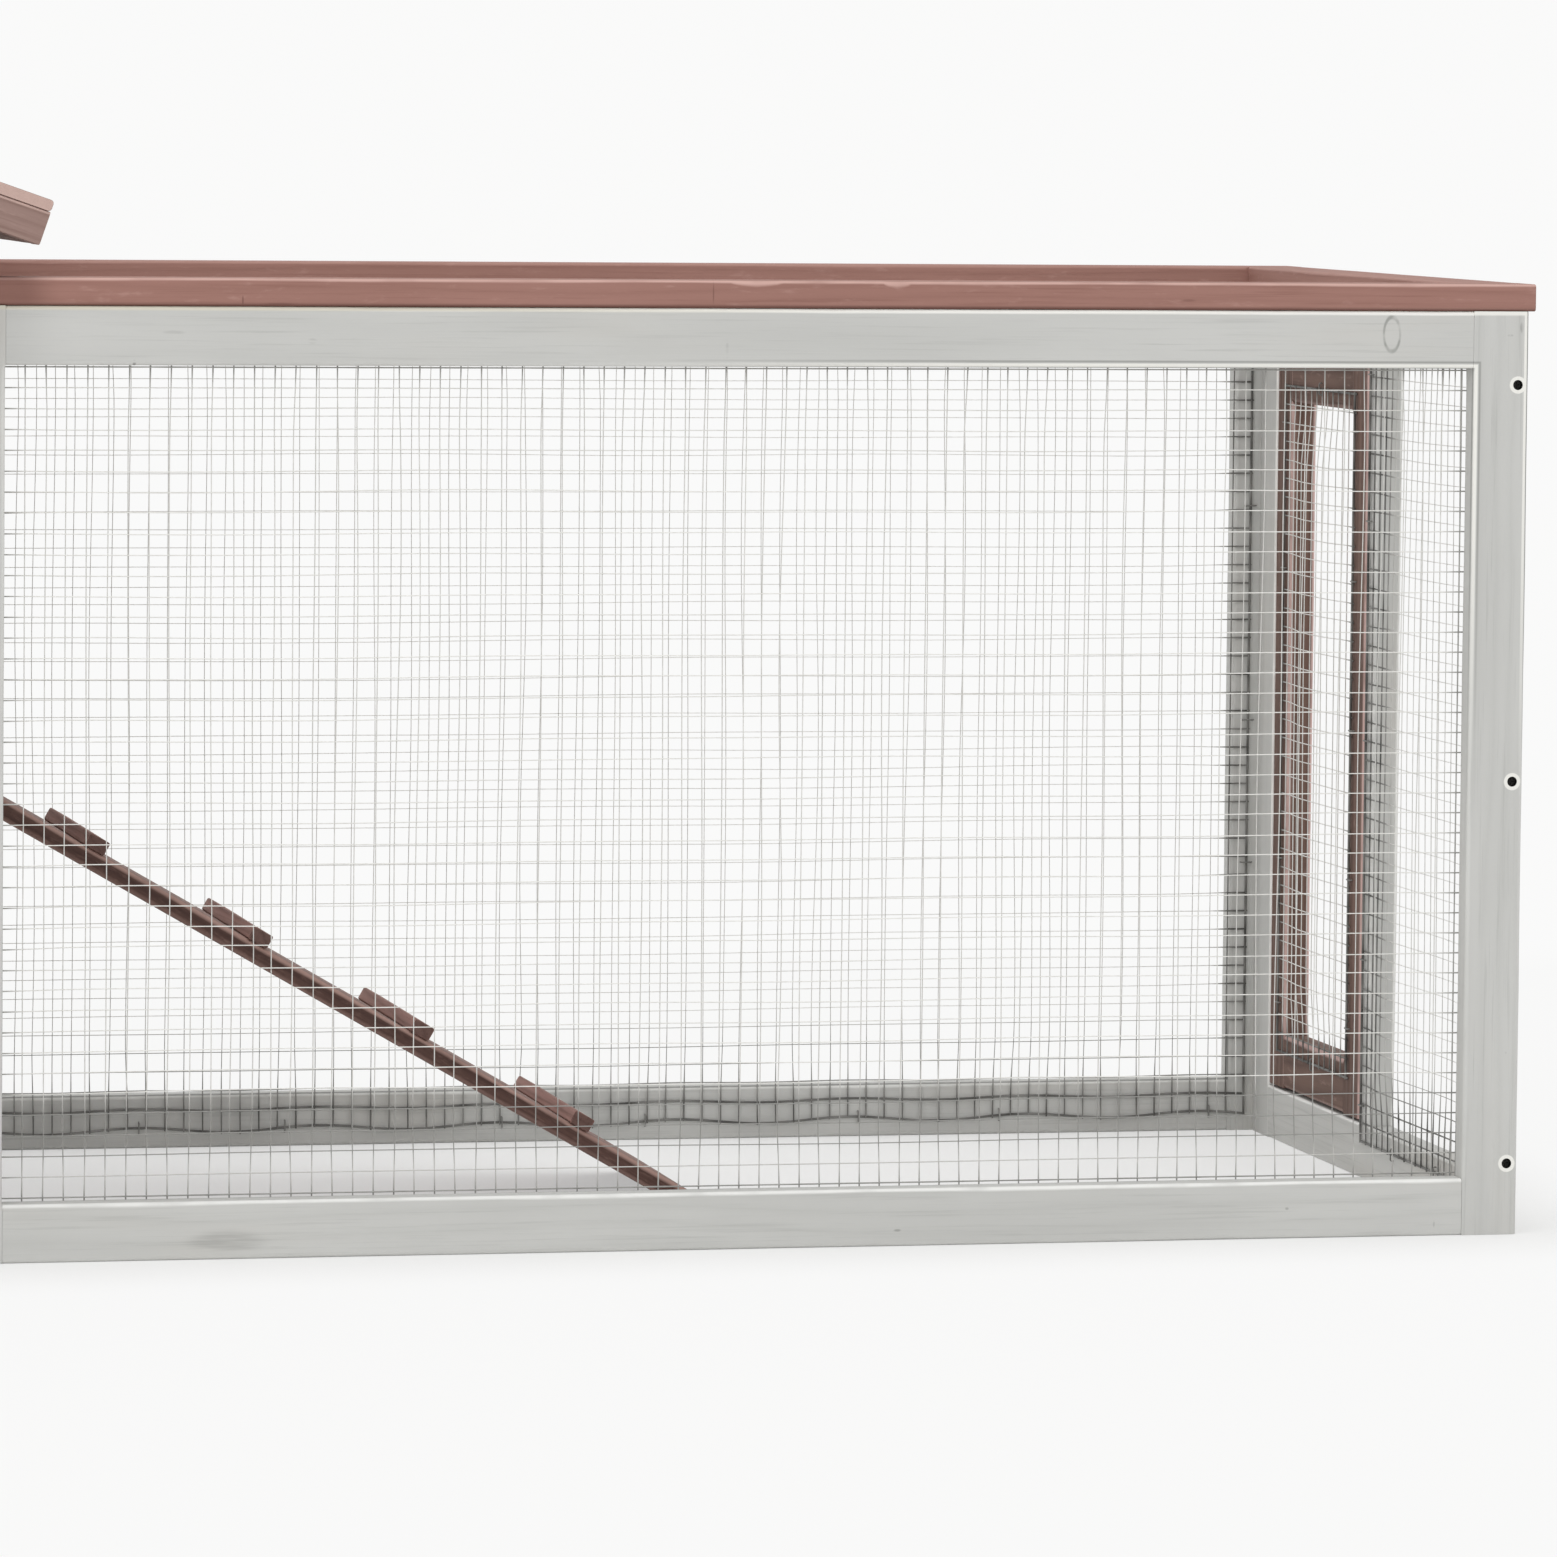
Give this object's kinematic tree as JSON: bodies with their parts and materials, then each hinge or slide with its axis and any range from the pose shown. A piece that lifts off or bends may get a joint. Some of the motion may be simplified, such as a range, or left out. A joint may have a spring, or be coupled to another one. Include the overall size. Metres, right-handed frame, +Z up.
{
  "type": "rabbit hutch",
  "caption": "Wide outdoor rabbit hutch: a raised house with a gable roof between wire-mesh runs with ramps.",
  "frame": {"origin": "middle of the footprint, on the ground", "axes": "+X to the right along the hutch, +Y to the back, +Z up"},
  "size_m": [3.0412, 0.6, 0.86],
  "materials": {
    "grey_paint": "painted",
    "brown_stain": "stained",
    "tray_board": "plain",
    "wire_mesh": "galvanised",
    "zinc_hardware": "zinc plated"
  },
  "bodies": {
    "hutch": {"right_front_frame": "grey_paint", "right_front_mesh": "wire_mesh", "right_back_frame": "grey_paint", "right_back_mesh": "wire_mesh", "right_end_frame": "grey_paint", "right_end_mesh": "wire_mesh", "right_top_frame": "brown_stain", "right_top_mesh": "wire_mesh", "right_house_wall": "grey_paint", "left_front_frame": "grey_paint", "left_front_mesh": "wire_mesh", "left_back_frame": "grey_paint", "left_back_mesh": "wire_mesh", "left_end_frame": "grey_paint", "left_end_mesh": "wire_mesh", "left_top_frame": "brown_stain", "left_top_mesh": "wire_mesh", "left_house_wall": "grey_paint", "house_front_frame": "grey_paint", "house_back_frame": "grey_paint", "house_back_wall": "grey_paint", "house_floor": "grey_paint", "floor_bearers": "grey_paint", "lower_front_mesh": "wire_mesh", "lower_back_mesh": "wire_mesh", "gable_boards": "grey_paint", "ridge_board": "brown_stain", "hinge_plates": "zinc_hardware", "hinge_pins": "zinc_hardware", "button_screws": "zinc_hardware", "panel_screws": "zinc_hardware", "mesh_staples": "zinc_hardware"},
    "right_end_door": {"right_end_door_frame": "brown_stain", "right_end_door_mesh": "wire_mesh", "right_end_door_leaves": "zinc_hardware"},
    "right_end_button": {"right_end_door_button": "brown_stain"},
    "right_ramp": {"right_ramp_board": "brown_stain", "right_ramp_cleats": "brown_stain", "right_ramp_leaves": "zinc_hardware"},
    "right_house_door": {"right_house_door": "brown_stain", "right_house_door_leaves": "zinc_hardware"},
    "right_roof": {"right_roof_deck": "brown_stain", "right_roof_battens": "brown_stain", "right_roof_leaves": "zinc_hardware"},
    "left_end_door": {"left_end_door_frame": "brown_stain", "left_end_door_mesh": "wire_mesh", "left_end_door_leaves": "zinc_hardware"},
    "left_end_button": {"left_end_door_button": "brown_stain"},
    "left_ramp": {"left_ramp_board": "brown_stain", "left_ramp_cleats": "brown_stain", "left_ramp_leaves": "zinc_hardware"},
    "left_house_door": {"left_house_door": "brown_stain", "left_house_door_leaves": "zinc_hardware"},
    "left_roof": {"left_roof_deck": "brown_stain", "left_roof_battens": "brown_stain", "left_roof_leaves": "zinc_hardware"},
    "house_button": {"house_door_button": "brown_stain"},
    "tray": {"litter_tray": "tray_board"}
  },
  "joints": [
    {"name": "right_end_door_hinge", "type": "hinge", "parent": "hutch", "child": "right_end_door", "pos_m": [1.5143, 0.226, 0.2905], "axis": [0, 0, 1], "range_deg": [0, 110]},
    {"name": "right_end_button_turn", "type": "hinge", "parent": "hutch", "child": "right_end_button", "pos_m": [1.5113, 0.026, 0.563], "axis": [-1, 0, 0], "range_deg": [0, 90]},
    {"name": "right_ramp_hinge", "type": "hinge", "parent": "hutch", "child": "right_ramp", "pos_m": [0.5203, 0, 0.2822], "axis": [0, -1, 0], "range_deg": [0, 30]},
    {"name": "right_house_door_hinge", "type": "hinge", "parent": "hutch", "child": "right_house_door", "pos_m": [0.48, -0.2883, 0.483], "axis": [0, 0, 1], "range_deg": [0, 110]},
    {"name": "right_roof_hinge", "type": "hinge", "parent": "hutch", "child": "right_roof", "pos_m": [0.0333, 0, 0.83596], "axis": [0, -1, 0], "range_deg": [0, 75]},
    {"name": "left_end_door_hinge", "type": "hinge", "parent": "hutch", "child": "left_end_door", "pos_m": [-1.5143, 0.226, 0.2905], "axis": [0, 0, -1], "range_deg": [0, 110]},
    {"name": "left_end_button_turn", "type": "hinge", "parent": "hutch", "child": "left_end_button", "pos_m": [-1.5113, 0.026, 0.563], "axis": [-1, 0, 0], "range_deg": [0, 90]},
    {"name": "left_ramp_hinge", "type": "hinge", "parent": "hutch", "child": "left_ramp", "pos_m": [-0.5203, 0, 0.2822], "axis": [0, 1, 0], "range_deg": [0, 30]},
    {"name": "left_house_door_hinge", "type": "hinge", "parent": "hutch", "child": "left_house_door", "pos_m": [-0.48, -0.2883, 0.483], "axis": [0, 0, -1], "range_deg": [0, 110]},
    {"name": "left_roof_hinge", "type": "hinge", "parent": "hutch", "child": "left_roof", "pos_m": [-0.0333, 0, 0.83596], "axis": [0, 1, 0], "range_deg": [0, 75]},
    {"name": "house_button_turn", "type": "hinge", "parent": "hutch", "child": "house_button", "pos_m": [0, -0.2853, 0.483], "axis": [0, -1, 0], "range_deg": [0, 90]},
    {"name": "tray_slide", "type": "slide", "parent": "hutch", "child": "tray", "axis": [0, -1, 0], "range_m": [0, 0.42]}
  ]
}
